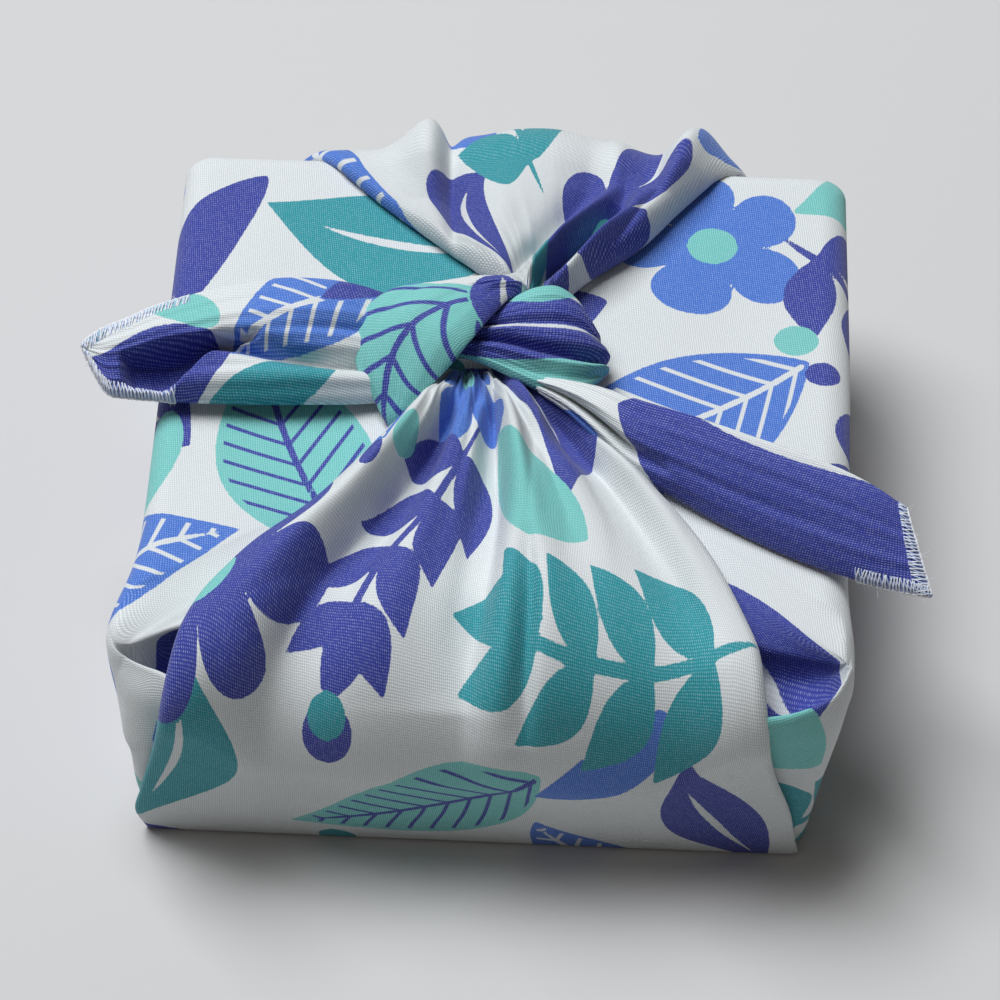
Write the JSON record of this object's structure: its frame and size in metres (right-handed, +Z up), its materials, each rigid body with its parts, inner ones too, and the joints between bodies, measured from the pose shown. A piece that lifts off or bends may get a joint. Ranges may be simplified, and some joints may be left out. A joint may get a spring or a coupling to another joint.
{
  "type": "furoshiki wrap",
  "caption": "Square patterned cloth wrapped round a low square box, corners gathered over the top and tied in a knot with free ends.",
  "frame": {"origin": "centre of the flat underside", "axes": "+Z up; +X along the knot's free ends, to the right seen from the front; +Y from the front panel to the back panel"},
  "size_m": [0.1975, 0.1736, 0.0848],
  "materials": {
    "cloth": "fine twill with a slight sheen, off-white ground with an indigo, blue, mint and teal leaf print, overlocked edges"
  },
  "bodies": {
    "root": {"furoshiki_cloth": "cloth"}
  },
  "joints": []
}
